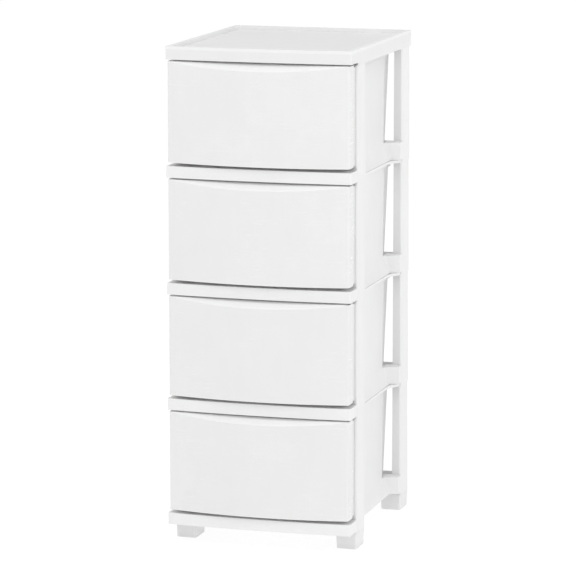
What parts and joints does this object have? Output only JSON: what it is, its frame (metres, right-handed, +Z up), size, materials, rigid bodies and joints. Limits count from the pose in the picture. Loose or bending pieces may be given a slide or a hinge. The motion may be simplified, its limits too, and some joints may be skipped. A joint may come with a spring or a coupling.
{
  "type": "plastic drawer tower",
  "caption": "Tall white plastic drawer tower with bow-fronted sliding drawers, open-slotted side frames, banded shelves, a sunk tray top and block feet.",
  "frame": {"origin": "on the floor, under the middle of the tower's bounding box", "axes": "+Z up, drawer fronts face -Y, +X to the right seen from the front"},
  "size_m": [0.32, 0.402, 0.844],
  "materials": {
    "frame_plastic": "white injection-moulded plastic, satin sheen",
    "foot_plastic": "white injection-moulded plastic, satin sheen",
    "bin_plastic": "white injection-moulded plastic, fine satin",
    "front_plastic": "white injection-moulded plastic, soft gloss"
  },
  "bodies": {
    "cabinet": {"top_cover": "frame_plastic", "divider_shelf_1": "frame_plastic", "divider_shelf_2": "frame_plastic", "divider_shelf_3": "frame_plastic", "base_shelf": "frame_plastic", "left_side_frame_1": "frame_plastic", "right_side_frame_1": "frame_plastic", "left_side_frame_2": "frame_plastic", "right_side_frame_2": "frame_plastic", "left_side_frame_3": "frame_plastic", "right_side_frame_3": "frame_plastic", "left_side_frame_4": "frame_plastic", "right_side_frame_4": "frame_plastic", "front_left_foot": "foot_plastic", "front_right_foot": "foot_plastic", "rear_left_foot": "foot_plastic", "rear_right_foot": "foot_plastic"},
    "drawer_1": {"drawer_bin_1": "bin_plastic", "drawer_front_1": "front_plastic"},
    "drawer_2": {"drawer_bin_2": "bin_plastic", "drawer_front_2": "front_plastic"},
    "drawer_3": {"drawer_bin_3": "bin_plastic", "drawer_front_3": "front_plastic"},
    "drawer_4": {"drawer_bin_4": "bin_plastic", "drawer_front_4": "front_plastic"}
  },
  "joints": [
    {"name": "drawer_1_slide", "type": "slide", "parent": "cabinet", "child": "drawer_1", "axis": [0, -1, 0], "range_m": [0, 0.2945]},
    {"name": "drawer_2_slide", "type": "slide", "parent": "cabinet", "child": "drawer_2", "axis": [0, -1, 0], "range_m": [0, 0.2945]},
    {"name": "drawer_3_slide", "type": "slide", "parent": "cabinet", "child": "drawer_3", "axis": [0, -1, 0], "range_m": [0, 0.2945]},
    {"name": "drawer_4_slide", "type": "slide", "parent": "cabinet", "child": "drawer_4", "axis": [0, -1, 0], "range_m": [0, 0.2945]}
  ]
}
